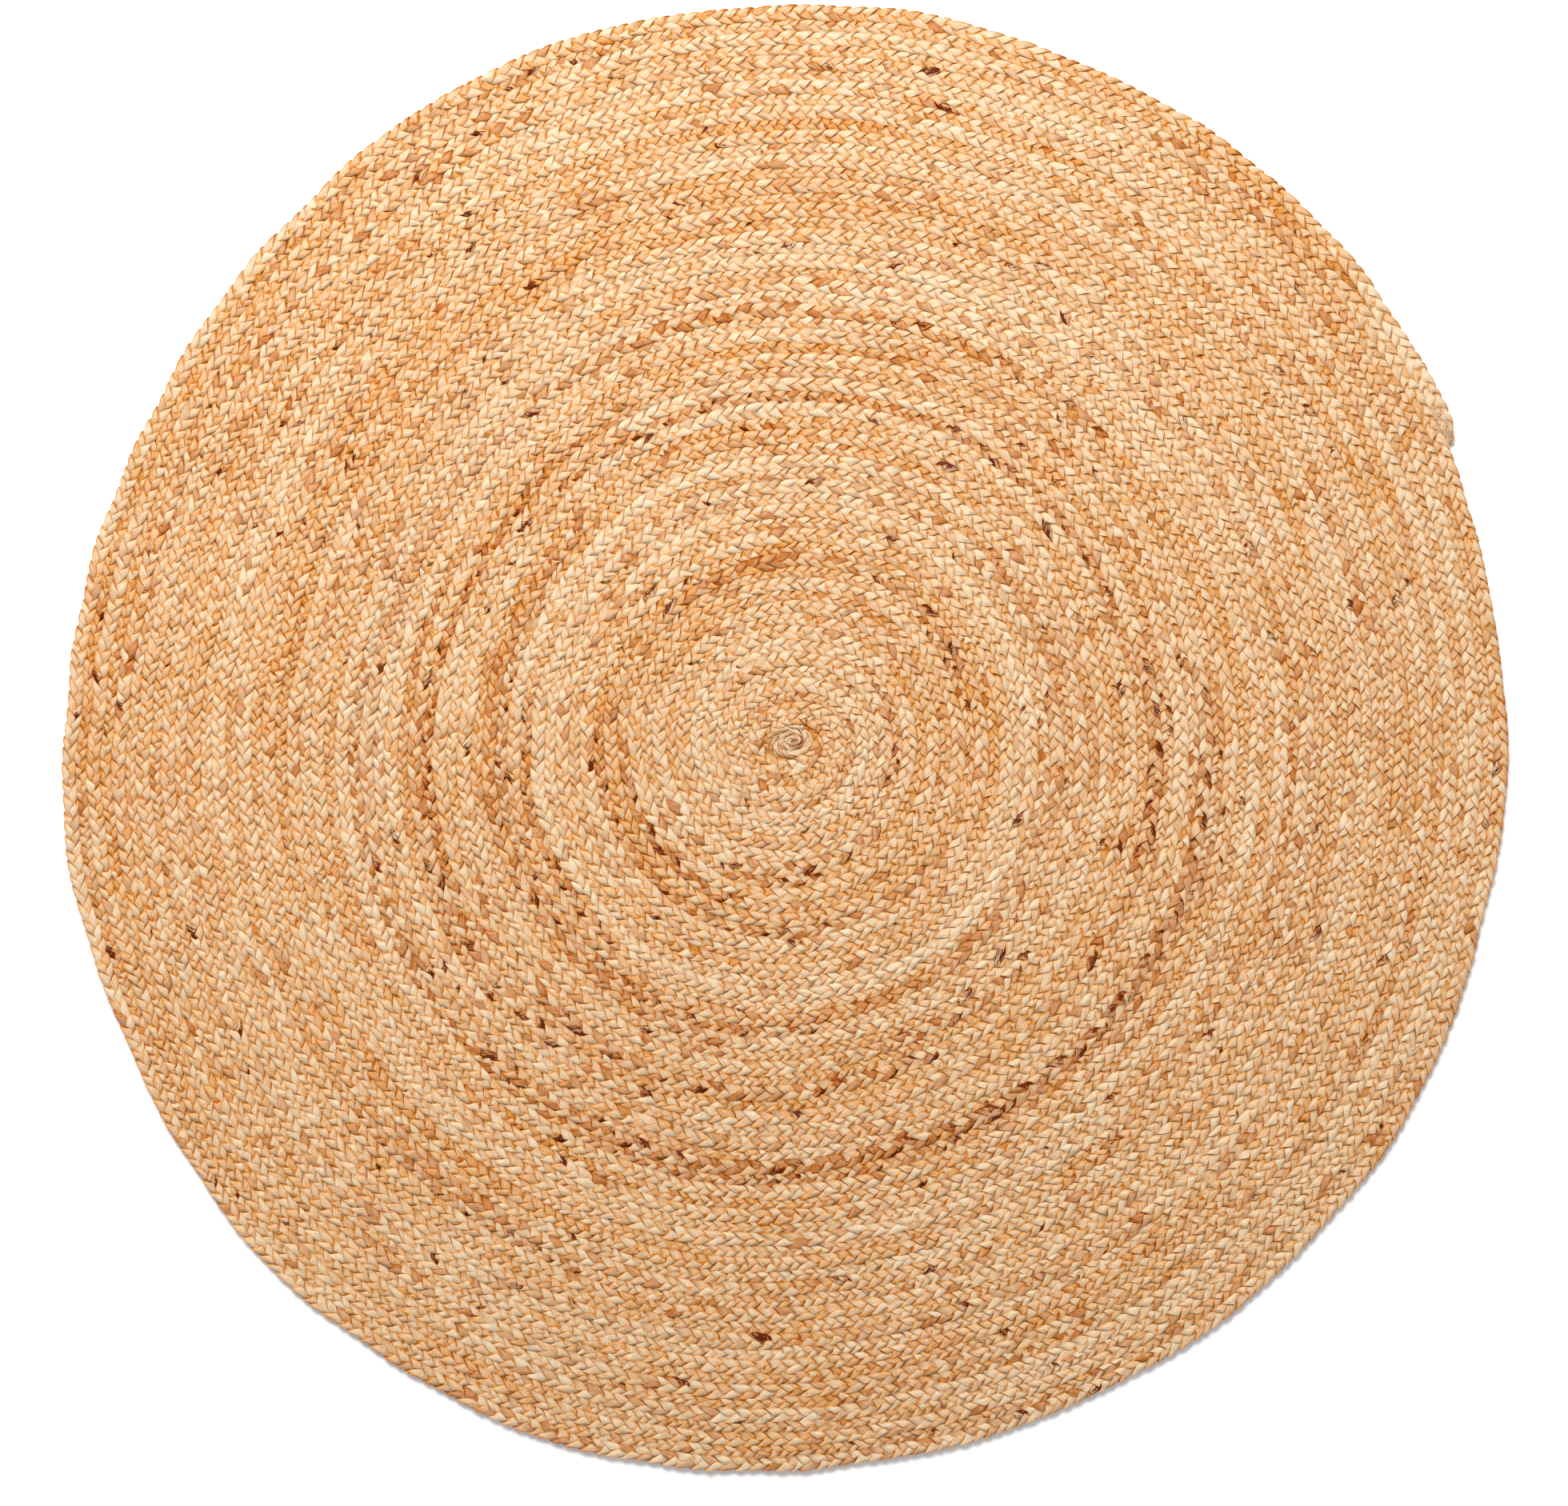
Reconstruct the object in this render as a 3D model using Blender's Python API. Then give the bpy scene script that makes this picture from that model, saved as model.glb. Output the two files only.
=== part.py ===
"""Round jute rug: a coarse and a fine plait laid side by side, wound into one coil and sewn edge to edge.

Metres, +Z up. The rug lies flat on z = 0, and the origin is under the middle of its box. Seen from above the
coil winds outwards clockwise, so a turn counted anticlockwise from the plaits' outer ends leads inwards.
"""

import math

import bmesh
import bpy

# The coil. A pair is one turn of the coarse plait with the fine plait inside it.
RUG_RADIUS = 0.7625  # of the coil's outline where the coarse plait ends
TURNS = 29  # whole pairs between the rim and the eye
COARSE_SHARE = 0.54  # of a pair's width
PAIR_WIDTH = RUG_RADIUS / (TURNS + 1)
COARSE_WIDTH = COARSE_SHARE * PAIR_WIDTH
FINE_WIDTH = PAIR_WIDTH - COARSE_WIDTH
EYE_RADIUS = 2 * PAIR_WIDTH  # holds the plaits' inner ends and nothing of the rim

# The plaits' thickness
RIDGE_HEIGHT = 0.009
GROOVE_HEIGHT = 0.0062
EYE_HEIGHT = 0.0057

# The rounded outer edge of the last coarse turn
SHOULDER_INSET, SHOULDER_HEIGHT = 0.0012, 0.0060
EDGE_HEIGHT = 0.0038
FOOT_INSET = 0.0025

# Where the plaits end, anticlockwise from +X as seen from above, in degrees
COARSE_END = 24.6
FINE_END = 36.8
FINE_TAPER = 5.8  # how far the fine plait takes to reach its full width

SPOKES = 40  # places round a turn where the coil's section is set

# How the hand-laid outline leaves the circle: waves round the rug, height in metres, a peak's angle in degrees
OUTLINE_WAVES = (
    (2, 0.0069, 61.0),
    (3, 0.0034, 103.4),
    (5, 0.0020, 34.5),
    (6, 0.0011, 5.3),
)

WELD = 0.00001
SMOOTH_BELOW = math.radians(50)
JUTE_COLOUR = (0.640, 0.385, 0.175, 1.0)  # linear
JUTE_ROUGHNESS = 0.85


def stretch(angle):
    """How much longer than the plain circle's a radius at this angle is."""
    waves = (height * math.cos(count * (angle - math.radians(peak))) for count, height, peak in OUTLINE_WAVES)
    return 1 + sum(waves) / RUG_RADIUS


def spoke_places():
    """Places in one turn from the coarse plait's end, 0 to 1, the fine plait's end and taper among them."""
    fine_end = (FINE_END - COARSE_END) / 360
    return sorted({spoke / SPOKES for spoke in range(SPOKES + 1)} | {fine_end, fine_end + FINE_TAPER / 360})


def fine_share(place):
    """The outermost fine turn's share of its full width at a place in the turn."""
    past_end = 360 * place - (FINE_END - COARSE_END)
    return min(max(past_end / FINE_TAPER, 0), 1)


def section(place):
    """(radius, height) along a spoke, from the foot of the rim over each ridge and groove to the eye."""
    outer = [RUG_RADIUS - PAIR_WIDTH * (turn + place) for turn in range(TURNS + 1)]
    last_fine = FINE_WIDTH * fine_share(place)
    outer[0] = outer[1] + last_fine + COARSE_WIDTH
    points = [
        (outer[0] - FOOT_INSET, 0),
        (outer[0], EDGE_HEIGHT),
        (outer[0] - SHOULDER_INSET, SHOULDER_HEIGHT),
    ]
    for turn in range(TURNS):
        fine = last_fine if turn == 0 else FINE_WIDTH
        coarse_inner = outer[turn] - COARSE_WIDTH
        fine_ridge = GROOVE_HEIGHT + (RIDGE_HEIGHT - GROOVE_HEIGHT) * fine / FINE_WIDTH
        points += [
            (outer[turn] - COARSE_WIDTH / 2, RIDGE_HEIGHT),
            (coarse_inner, GROOVE_HEIGHT),
            (coarse_inner - fine / 2, fine_ridge),
            (outer[turn + 1], GROOVE_HEIGHT),
        ]
    points[-1] = (outer[TURNS], GROOVE_HEIGHT + (EYE_HEIGHT - GROOVE_HEIGHT) * place)
    return points + [(0, EYE_HEIGHT)]


def wind(bm):
    """Turns a flat grid's columns into the spokes of one turn, and its rows into ridges and grooves."""
    places = spoke_places()
    sections = [section(place) for place in places]
    columns, rows = len(places) - 1, len(sections[0]) - 1
    bmesh.ops.create_grid(bm, x_segments=columns, y_segments=rows, size=1)
    for vert in bm.verts:
        column = round((vert.co.x + 1) / 2 * columns)
        row = round((vert.co.y + 1) / 2 * rows)
        angle = math.radians(COARSE_END) + math.tau * places[column]
        radius, height = sections[column][row]
        radius *= stretch(angle)
        vert.co = (radius * math.cos(angle), radius * math.sin(angle), height)
    # The turn's last spoke meets the first one, where each pair has moved in by one.
    bmesh.ops.remove_doubles(bm, verts=bm.verts, dist=WELD)


def close(bm):
    """Fills the eye, the blunt ends of the plaits and the flat underside."""
    open_edges = [edge for edge in bm.edges if edge.is_boundary]
    foot = [edge for edge in open_edges if all(vert.co.z < WELD for vert in edge.verts)]
    eye = [edge for edge in open_edges if all(vert.co.xy.length < EYE_RADIUS for vert in edge.verts)]
    ends = [edge for edge in open_edges if edge not in foot and edge not in eye]
    corners = [vert for edge in ends for vert in edge.verts if vert.co.z < WELD]
    across = bm.edges.new(corners)
    for loop in (eye, ends + [across], foot + [across]):
        bmesh.ops.edgeloop_fill(bm, edges=loop)


def centre(bm):
    """Moves the rug so that the origin is under the middle of its box."""
    across = [vert.co.x for vert in bm.verts]
    along = [vert.co.y for vert in bm.verts]
    middle = (max(across) + min(across)) / 2, (max(along) + min(along)) / 2
    bmesh.ops.translate(bm, vec=(-middle[0], -middle[1], 0), verts=bm.verts)


def jute():
    material = bpy.data.materials.new("plaited_jute")
    material.use_nodes = True
    shader = material.node_tree.nodes["Principled BSDF"]
    shader.inputs["Base Color"].default_value = JUTE_COLOUR
    shader.inputs["Roughness"].default_value = JUTE_ROUGHNESS
    shader.inputs["Metallic"].default_value = 0
    return material


def make_rug(collection):
    bm = bmesh.new()
    wind(bm)
    close(bm)
    bmesh.ops.triangulate(bm, faces=bm.faces)
    bmesh.ops.recalc_face_normals(bm, faces=bm.faces)
    centre(bm)
    mesh = bpy.data.meshes.new("rug")
    bm.to_mesh(mesh)
    bm.free()
    mesh.shade_smooth()
    mesh.set_sharp_from_angle(angle=SMOOTH_BELOW)
    mesh.materials.append(jute())
    rug = bpy.data.objects.new("rug", mesh)
    collection.objects.link(rug)


def main():
    for old in list(bpy.data.objects):
        bpy.data.objects.remove(old)
    collection = bpy.data.collections.new("round_jute_rug")
    bpy.context.scene.collection.children.link(collection)
    make_rug(collection)


main()
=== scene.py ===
"""Looks of a round jute rug: a coarse and a fine three-strand plait, wound into one coil and sewn.

Metres, +Z up, and seen from above +X is right and +Y is up the picture. The coil winds outwards clockwise,
so a place on it is told by turns counted anticlockwise, and so inwards, from the coarse plait's outer end,
and by its radius from the coil's middle. A plait's top shows one lobe for each time a strand crosses to the
middle, inner and outer side in turn, and lobe number n is strand n modulo 3.
"""

import math

import bmesh
import bpy
import numpy as np
from bpy.props import FloatProperty, FloatVectorProperty, IntProperty, PointerProperty
from bpy.types import Operator, Panel, PropertyGroup
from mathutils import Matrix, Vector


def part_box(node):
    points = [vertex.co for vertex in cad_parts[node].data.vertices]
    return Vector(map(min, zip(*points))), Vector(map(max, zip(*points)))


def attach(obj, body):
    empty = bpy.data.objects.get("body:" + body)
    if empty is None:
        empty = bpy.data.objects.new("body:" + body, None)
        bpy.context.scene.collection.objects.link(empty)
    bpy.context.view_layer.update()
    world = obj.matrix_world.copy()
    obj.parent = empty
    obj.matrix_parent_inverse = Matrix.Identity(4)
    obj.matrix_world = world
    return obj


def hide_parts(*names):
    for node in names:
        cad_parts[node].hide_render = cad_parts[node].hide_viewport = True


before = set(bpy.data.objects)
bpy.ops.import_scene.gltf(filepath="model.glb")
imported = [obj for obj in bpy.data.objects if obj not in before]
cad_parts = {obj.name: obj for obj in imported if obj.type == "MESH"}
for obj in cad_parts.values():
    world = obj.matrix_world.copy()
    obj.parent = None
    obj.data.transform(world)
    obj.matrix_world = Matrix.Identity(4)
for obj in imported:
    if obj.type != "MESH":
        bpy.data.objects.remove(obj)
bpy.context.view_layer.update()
rug_low, rug_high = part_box("rug")

bl_info = {
    "name": "Round jute rug",
    "version": (1, 0, 0),
    "blender": (4, 5, 0),
    "location": "View3D > Sidebar > Jute rug",
    "description": "Winds a rug from a coarse and a fine jute plait and sets it on a plain stage",
    "category": "Add Mesh",
}

# In degrees: where the plaits end outside, anticlockwise from +X, and how far the fine one takes to widen
COARSE_END, FINE_END, FINE_TAPER = 24.6, 36.8, 5.8

# How the hand-laid outline leaves the circle: waves round the rug, height, a peak's angle in degrees
OUTLINE_WAVES = (
    (2, 0.0069, 61.0),
    (3, 0.0034, 103.4),
    (5, 0.0020, 34.5),
    (6, 0.0011, 5.3),
)

# How the rows swerve where the coil was laid by hand: wavelength, height. Several waves of each kind cross.
SWERVES = ((0.42, 0.0010), (0.21, 0.0008), (0.11, 0.0005))
SWERVES_EACH, SWERVE_SEED = 5, 5

# The last rows by the plaits' ends were laid further out: by how much, and where, in degrees
BULGE_HEIGHT, BULGE_MIDDLE, BULGE_BREADTH = 0.0075, 31.5, 10.5
BULGE_FROM, BULGE_FULL = 0.62, 0.75  # radii over which the rows spread to make it

# The eye is oval: how far from the middle the rows follow it, its shares of extra width and lost height, and
# how far up the picture it lies
EYE_PULL, EYE_WIDER, EYE_LOWER, EYE_UP = 0.045, 0.2, 0.12, 0.006

# How the edges of the coarse plait's row waver: height, spacing, seed
OUTSIDE_WAVES = ((0.0005, 0.028, 1), (0.0004, 0.09, 3))
INSIDE_WAVES = ((0.0005, 0.03, 2), (0.0004, 0.08, 4))

# Darker strands that were plaited in: plait, first and last turn, strand, depth of the tint, root ends
TINTED_STRANDS = (
    ("coarse", 5.60, 5.78, 0, 0.6, 0.10),
    ("coarse", 7.54, 7.60, 1, 0.7, 0.05),
    ("coarse", 12.05, 12.55, 2, 0.6, 0.12),
    ("coarse", 12.55, 12.96, 2, 1.0, 0.45),
    ("coarse", 12.60, 12.90, 0, 0.6, 0.10),
    ("coarse", 14.40, 14.62, 1, 0.8, 0.35),
    ("coarse", 14.88, 14.98, 0, 0.5, 0.40),
    ("coarse", 15.55, 15.75, 0, 0.8, 0.40),
    ("coarse", 16.70, 16.82, 1, 0.9, 0.20),
    ("coarse", 17.30, 17.65, 2, 1.0, 0.10),
    ("coarse", 24.60, 24.80, 1, 0.8, 0.30),
    ("fine", 6.54, 6.62, 1, 0.9, 0.30),
    ("fine", 11.40, 11.96, 0, 0.9, 0.15),
    ("fine", 14.26, 14.50, 2, 1.0, 0.45),
    ("fine", 14.95, 15.30, 1, 0.9, 0.25),
    ("fine", 17.34, 17.70, 0, 1.0, 0.30),
    ("fine", 18.40, 18.56, 2, 0.8, 0.40),
    ("fine", 21.40, 21.84, 1, 0.9, 0.15),
    ("fine", 21.96, 22.06, 0, 0.9, 0.60),
    ("fine", 22.46, 22.62, 0, 1.0, 0.45),
    ("fine", 23.60, 23.72, 2, 1.0, 0.50),
    ("fine", 24.84, 25.06, 1, 0.9, 0.55),
)

# A plait's rows of points, as shares of its half width: over its top, and then back underneath
TOP_ROWS = {
    "coarse": (-1, -0.9, -0.58, -0.24, 0, 0.24, 0.58, 0.9, 1),
    "fine": (-1, -0.85, -0.4, 0, 0.4, 0.85, 1),
}
ROWS_BELOW = (0.6, -0.6)
SEEDS = {"coarse": 100, "fine": 200}
FINE_TIP = 0.4  # degrees past its end where the fine plait is first wide enough to make
COARSE_STOP, FINE_STOP = 0.2, -0.32  # where the plaits go into the eye, in turns past the last whole one

# A lobe has four columns of points, and the fifth is the next one's first.
IN_LOBE = 4
SPREAD = np.array((0, 0.12, 0.5, 0.88, 1))  # places across a lobe from one crease to the next
CREASED = np.array((1, 0.35, 0, 0.35))  # how much of a crease's depth each column has
SEAM_SWING = np.array((0, 1, 0, -1))  # which way the seam between the two sides swings at each
SWING_FADE = 1.3  # how fast the swing dies out towards the plait's edges
RIM_SCALLOP = np.array((-0.36, 0.2, 0.2, 0.0))  # how far the rim's lobes stand out there, in half widths
EDGE_SCALLOP = (0.02, 0.3)  # the same inside the rim: what each lobe has, and what a full lobe has more
EDGE_LAG, UNDER_LAG = 0.62, 1.5  # lobe lengths that a strand trails by at the edge, and back at the middle
ROUGH_SIDEWAYS, ROUGH_HEIGHT = 0.022, 0.00014  # spread of single points, in half widths and in metres
TIP_DIP = 0.0016  # how far a strand's tip dips under its neighbour
EDGE_LIFT, EVEN_FULLNESS = 0.0011, 0.4  # how far full lobes ride up at the edge, and which ones don't
BLUNT_NARROWING, BLUNT_LOBES = 0.5, 0.9  # how the cut end is drawn in: share of the width, lobes it takes
LOW_GAP, LOW_CREASE = 0.0001, 0.0011  # the underside's height above the floor, and its creases' depth

# A plait's section at shares of its half width: a lobe's height as a share of the plait's, and the share of
# a crease's depth
SECTION_PLACES = (0, 0.2, 0.5, 0.9, 1)
SECTION_HEIGHTS = (0.86, 0.95, 1, 0.91, 0.86)
SECTION_CREASES = (0, 0.8, 1, 0.85, 0.6)

# Near the eye the plaits bend tightly, so their lobes are shorter: share lost, how far from the middle
SQUEEZE, SQUEEZE_REACH = 0.27, 0.07
LOBE_LENGTH_CHANGE, LOBE_LENGTH_SPACING = 0.11, 0.3  # how far lobes differ in length, and over what length

SHARP_OVER = math.radians(55)  # between faces
WELD = 0.000002  # points that are closer become one

# The map that a bake uses: width of its pixels as a share of their length on a plait, the clear edges of
# strips and cells, and the underside's size in it
BAKE_PIXEL, STRIP_END, STRIP_SIDE, CELL_EDGE, BAKE_BELOW = 0.7, 0.001, 0.02, 0.05, 0.3

# The eye's curl starts this far past the last whole turn. First a flat core fills the eye: its turns, its
# half width and half thickness, and its radius as shares of the eye's
CURL_START = 0.1
CORE_TURNS, CORE_WIDTH, CORE_THICKNESS = 3.4, 0.0062, 0.0026
CORE_INWARDS = ((0, 0.3, 1), (0.98, 0.86, 0.02))

# Over it the loose end is a twisted cord: its turns, half its width, its middle's height, and how far along
# it a fibre gets in one twist
CORD_TURNS, CORD_HALF, CORD_LEVEL, CORD_PITCH = 2.8, 0.003, 0.0036, 0.034

# Frayed ends: name, how many, turn of the middle and how far out from the coarse plait's inner seam it is,
# their spread, reach along the coil, lowest and highest, greatest half width
FRAYED_ENDS = (
    ("coarse_fray", 26, 0.0009, 0.0018, 0.0001, 0.0012, 0.010, 0.0015, 0.0062, 0.0008),
    ("fine_fray", 26, 0.0370, 0.0004, 0.0006, 0.0016, 0.012, 0.0040, 0.0080, 0.0008),
    ("end_tuft", 120, 0.0052, 0.0038, 0.0022, 0.0032, 0.011, 0.0078, 0.0094, 0.00035),
)

LOOSE_FIBRES, RIM_FIBRES = 1850, 260


def linear(hex_colour):
    """The linear colour, with alpha, of an sRGB hex value."""
    parts = [int(hex_colour[place : place + 2], 16) / 255 for place in (1, 3, 5)]
    return [part / 12.92 if part <= 0.04045 else ((part + 0.055) / 1.055) ** 2.4 for part in parts] + [1]


def colour_property(name, description, hex_colour):
    return FloatVectorProperty(
        name=name, description=description, subtype="COLOR", size=4, min=0, max=1, default=linear(hex_colour)
    )


class CoilSizes(PropertyGroup):
    rug_radius: FloatProperty(
        name="Rug radius", description="From the middle to where the coarse plait ends",
        default=0.7625, unit="LENGTH",
    )
    turns: IntProperty(
        name="Turns", description="Whole pairs of plaits between the rim and the eye", default=29
    )
    coarse_share: FloatProperty(
        name="Coarse share", description="The coarse plait's share of a pair's width",
        default=0.54, min=0, max=1, subtype="FACTOR",
    )
    eye_radius: FloatProperty(
        name="Eye radius", description="Of the loose curl in the middle", default=0.018, unit="LENGTH"
    )
    thickness: FloatProperty(
        name="Thickness", description="Of the coarse plait",
        default=rug_high[2] - rug_low[2], unit="LENGTH",
    )
    fine_thickness: FloatProperty(
        name="Fine thickness", description="Of the fine plait", default=0.0084, unit="LENGTH"
    )
    coarse_lobe: FloatProperty(
        name="Coarse lobe", description="Along one side of the coarse plait, from one lobe to the next",
        default=0.0144, unit="LENGTH",
    )
    fine_lobe: FloatProperty(
        name="Fine lobe", description="Along one side of the fine plait, from one lobe to the next",
        default=0.0119, unit="LENGTH",
    )
    crease_depth: FloatProperty(
        name="Crease depth", description="Between neighbouring lobes", default=0.0026, unit="LENGTH"
    )
    seam_swing: FloatProperty(
        name="Seam swing", description="How far a lobe's tip crosses the middle, in half widths",
        default=0.3, min=0, max=0.5, subtype="FACTOR",
    )
    turns_in_span: IntProperty(
        name="Turns in a span", description="Each plait is made in spans of this many turns", default=3
    )


class JuteColours(PropertyGroup):
    # Cream and straw show where the painted shade leaves the crests light: cream on the palest strands,
    # straw on most.
    cream: colour_property("Cream", "The crests of the palest strands, rubbed clean", "#BEAB8F")
    straw: colour_property("Straw", "The crests of most strands", "#B69370")
    # Tan: the flanks, which hold painted shade, and the browner strands' own colour.
    tan: colour_property("Tan", "Flanks, and the browner strands", "#B27B38")
    # Brown is painted shade in the creases, and the darkest fibre streaks.
    brown: colour_property("Brown", "The creases, where the oil and dust stay", "#93490C")
    grey: colour_property("Grey", "Strands that weathered before plaiting", "#B09070")
    stain: colour_property("Stain", "Laid over the tinted strands as a glaze", "#CE9550")
    root: colour_property("Root", "The bark left at the root end of a stalk", "#501B03")


class StageSizes(PropertyGroup):
    frame_width: FloatProperty(
        name="Frame width", description="What the picture is wide at the rug", default=1.614, unit="LENGTH"
    )
    frame_middle: FloatVectorProperty(
        name="Frame middle", description="The place under the camera", size=2,
        default=(-0.0016, -0.0161), unit="LENGTH",
    )
    camera_height: FloatProperty(
        name="Camera height", description="Above the floor", default=4.5, unit="LENGTH"
    )
    key_power: FloatProperty(
        name="Key light", description="Power of the big soft light beyond the top of the picture",
        default=480, unit="POWER",
    )
    key_size: FloatProperty(
        name="Key size", description="Across the key light's disk", default=3.3, unit="LENGTH"
    )
    key_place: FloatVectorProperty(
        name="Key place", description="The key light's middle. It faces the rug's",
        default=(-0.9, 3.35, 3.65), unit="LENGTH",
    )
    sky: FloatProperty(name="Sky", description="Strength of the white light from all round", default=0.6)
    floor_side: FloatProperty(
        name="Floor side", description="Of the square floor", default=12, unit="LENGTH"
    )


def uneven(places, spacing, seed):
    """Smooth unevenness, mostly within -1 to 1, along a line of places in metres."""
    count = 4096
    heights = np.random.default_rng(seed).normal(0, 0.6, count)
    steps = np.asarray(places) / spacing + 8
    whole = np.floor(steps).astype(int)
    part = steps - whole
    eased = part * part * (3 - 2 * part)
    return heights[whole % count] * (1 - eased) + heights[(whole + 1) % count] * eased


def wavering(places, waves):
    """The sum of several unevennesses, each told as height, spacing and seed."""
    return sum(height * uneven(places, spacing, seed) for height, spacing, seed in waves)


def stretch(angle):
    """How much longer than the plain circle's a radius at this angle is."""
    waves = sum(
        height * np.cos(count * (angle - math.radians(peak))) for count, height, peak in OUTLINE_WAVES
    )
    return 1 + waves / bpy.context.scene.rug_sizes.rug_radius


def drawn_to_eye(x, y):
    """Where the rows near the middle lie round the oval eye."""
    near = np.exp(-(x * x + y * y) / EYE_PULL**2)
    return x * (1 + EYE_WIDER * near), y * (1 - EYE_LOWER * near) + EYE_UP * near


def bulged(x, y):
    """Where the last rows lie beside the plaits' ends."""
    spread = np.interp(np.hypot(x, y), (BULGE_FROM, BULGE_FULL), (0, 1)) ** 2
    off_middle = (np.degrees(np.arctan2(y, x)) - BULGE_MIDDLE) / BULGE_BREADTH
    bulge = 1 + spread * BULGE_HEIGHT / BULGE_FULL * np.exp(-(off_middle**6))
    return x * bulge, y * bulge


def swerved(x, y):
    """Where hand laying puts a point of the even coil."""
    x, y = bulged(*drawn_to_eye(x, y))
    dice = np.random.default_rng(SWERVE_SEED)
    for wavelength, height in SWERVES:
        for _ in range(SWERVES_EACH):
            heading, push, phase = dice.uniform(0, math.tau, 3)
            along = (x * math.cos(heading) + y * math.sin(heading)) * math.tau / wavelength
            shift = height * np.cos(along + phase)
            x, y = x + shift * math.cos(push), y + shift * math.sin(push)
    return x, y


class Coil:
    """The widths of the two plaits and the way that they wind."""

    def __init__(self, sizes):
        self.radius, self.eye = sizes.rug_radius, sizes.eye_radius
        self.pair = sizes.rug_radius / (sizes.turns + 1)
        self.coarse = sizes.coarse_share * self.pair
        self.fine = self.pair - self.coarse
        self.middle = np.zeros(2)
        once_round = np.linspace(0, 1, 720, endpoint=False)
        rim = self.placed(once_round, self.coarse_outside(once_round), 0 * once_round, swerve=False)
        self.middle = (rim.max(axis=0) + rim.min(axis=0))[:2] / 2

    def length(self, turn):
        """Metres along the coil from its outer end."""
        return math.tau * (self.radius * turn - self.pair * turn**2 / 2)

    def fine_missing(self, turn):
        """How much narrower the pair is where the fine plait hasn't begun or isn't yet at its full width."""
        share = (360 * turn - (FINE_END - COARSE_END)) / FINE_TAPER
        return self.fine * (1 - np.clip(share, 0, 1))

    def coarse_outside(self, turn):
        even = self.radius - self.pair * turn - self.fine_missing(turn)
        return even + wavering(self.length(turn), OUTSIDE_WAVES)

    def coarse_inside(self, turn):
        even = self.radius - self.pair * turn - self.fine_missing(turn) - self.coarse
        return np.maximum(even + wavering(self.length(turn), INSIDE_WAVES), self.eye)

    def fine_inside(self, turn):
        return np.maximum(self.coarse_outside(turn + 1), self.eye)

    def edges(self, kind, turn):
        """Inner and outer radius of a plait's row."""
        if kind == "coarse":
            return self.coarse_inside(turn), self.coarse_outside(turn)
        return self.fine_inside(turn), self.coarse_inside(turn)

    def placed(self, turn, radius, height, swerve=True):
        """Points in the rug's frame, one a row."""
        angle = math.radians(COARSE_END) + math.tau * turn
        radius = radius * stretch(angle)
        x, y = radius * np.cos(angle), radius * np.sin(angle)
        if swerve:
            x, y = swerved(x, y)
        return np.stack((x - self.middle[0], y - self.middle[1], height), axis=1)

    def paths(self, turns, radii, heights):
        """The same for many paths, told as arrays with a path in each row."""
        points = self.placed(turns.ravel(), radii.ravel(), heights.ravel())
        return points.reshape(*turns.shape, 3)


class Lattice:
    """A flat grid whose points are laid out as a tube by column and row, the last row on the first one."""

    def __init__(self, name, columns, rows):
        bm = bmesh.new()
        bmesh.ops.create_grid(bm, x_segments=columns, y_segments=rows, size=1)
        self.mesh = bpy.data.meshes.new(name)
        bm.to_mesh(self.mesh)
        bm.free()
        points = np.empty(3 * len(self.mesh.vertices), np.float32)
        self.mesh.vertices.foreach_get("co", points)
        self.columns = columns
        self.column = np.rint((points[0::3] + 1) / 2 * columns).astype(int)
        self.row = np.rint((points[1::3] + 1) / 2 * rows).astype(int)
        corners = np.empty(len(self.mesh.loops), np.int32)
        self.mesh.loops.foreach_get("vertex_index", corners)
        self.corner_column, self.corner_row = self.column[corners], self.row[corners]
        self.face_column = self.corner_column.reshape(-1, 4).min(axis=1)
        self.face_row = self.corner_row.reshape(-1, 4).min(axis=1)

    def lay(self, points):
        self.mesh.vertices.foreach_set("co", points.astype(np.float32).ravel())

    def give_faces(self, name, values):
        layer = self.mesh.attributes.new(name, "FLOAT", "FACE")
        layer.data.foreach_set("value", values.astype(np.float32))

    def give_map(self, name, across, up):
        layer = self.mesh.uv_layers.new(name=name, do_init=False)
        layer.uv.foreach_set("vector", np.stack((across, up), axis=1).astype(np.float32).ravel())

    def give_bake_map(self, length, girths):
        """The surface cut into strips that fill the map, so that a picture of it stays sharp."""
        strips = max(1, round(math.sqrt(BAKE_PIXEL * length / girths[-1])))
        in_strip = math.ceil(self.columns / strips)
        strip = np.repeat(self.face_column // in_strip, 4)
        across = (self.corner_column - strip * in_strip) / in_strip
        up = np.asarray(girths)[self.corner_row] / girths[-1]
        up = strip + STRIP_SIDE + (1 - 2 * STRIP_SIDE) * up
        self.give_map("OFBake", STRIP_END + (1 - 2 * STRIP_END) * across, up / strips)

    def close(self, every=None):
        """Cuts it into tubes of so many columns, welds them, caps their ends and points faces outwards."""
        bm = bmesh.new()
        bm.from_mesh(self.mesh)
        if every:
            between = [face for face in bm.faces if self.face_column[face.index] % every == every - 1]
            bmesh.ops.delete(bm, geom=between, context="FACES")
        bmesh.ops.remove_doubles(bm, verts=bm.verts, dist=WELD)
        bmesh.ops.holes_fill(bm, edges=[edge for edge in bm.edges if edge.is_boundary], sides=0)
        bmesh.ops.recalc_face_normals(bm, faces=bm.faces)
        bm.to_mesh(self.mesh)
        bm.free()
        self.mesh.shade_smooth()
        self.mesh.set_sharp_from_angle(angle=SHARP_OVER)


def lag(across, under):
    """Lobe lengths that a strand trails behind on its way from the seam round the edge and back below."""
    share = np.arcsin(np.abs(across)) * 2 / math.pi
    return np.where(under, UNDER_LAG - (UNDER_LAG - EDGE_LAG) * share, EDGE_LAG * share)


def lobe_at(column, outer_side):
    """A lobe's place in the lists of lobes, and the step along it. The outer side's begin half a lobe on."""
    group, step = np.divmod(column - IN_LOBE // 2 * outer_side, IN_LOBE)
    return 2 * group + outer_side + 2, step


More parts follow.
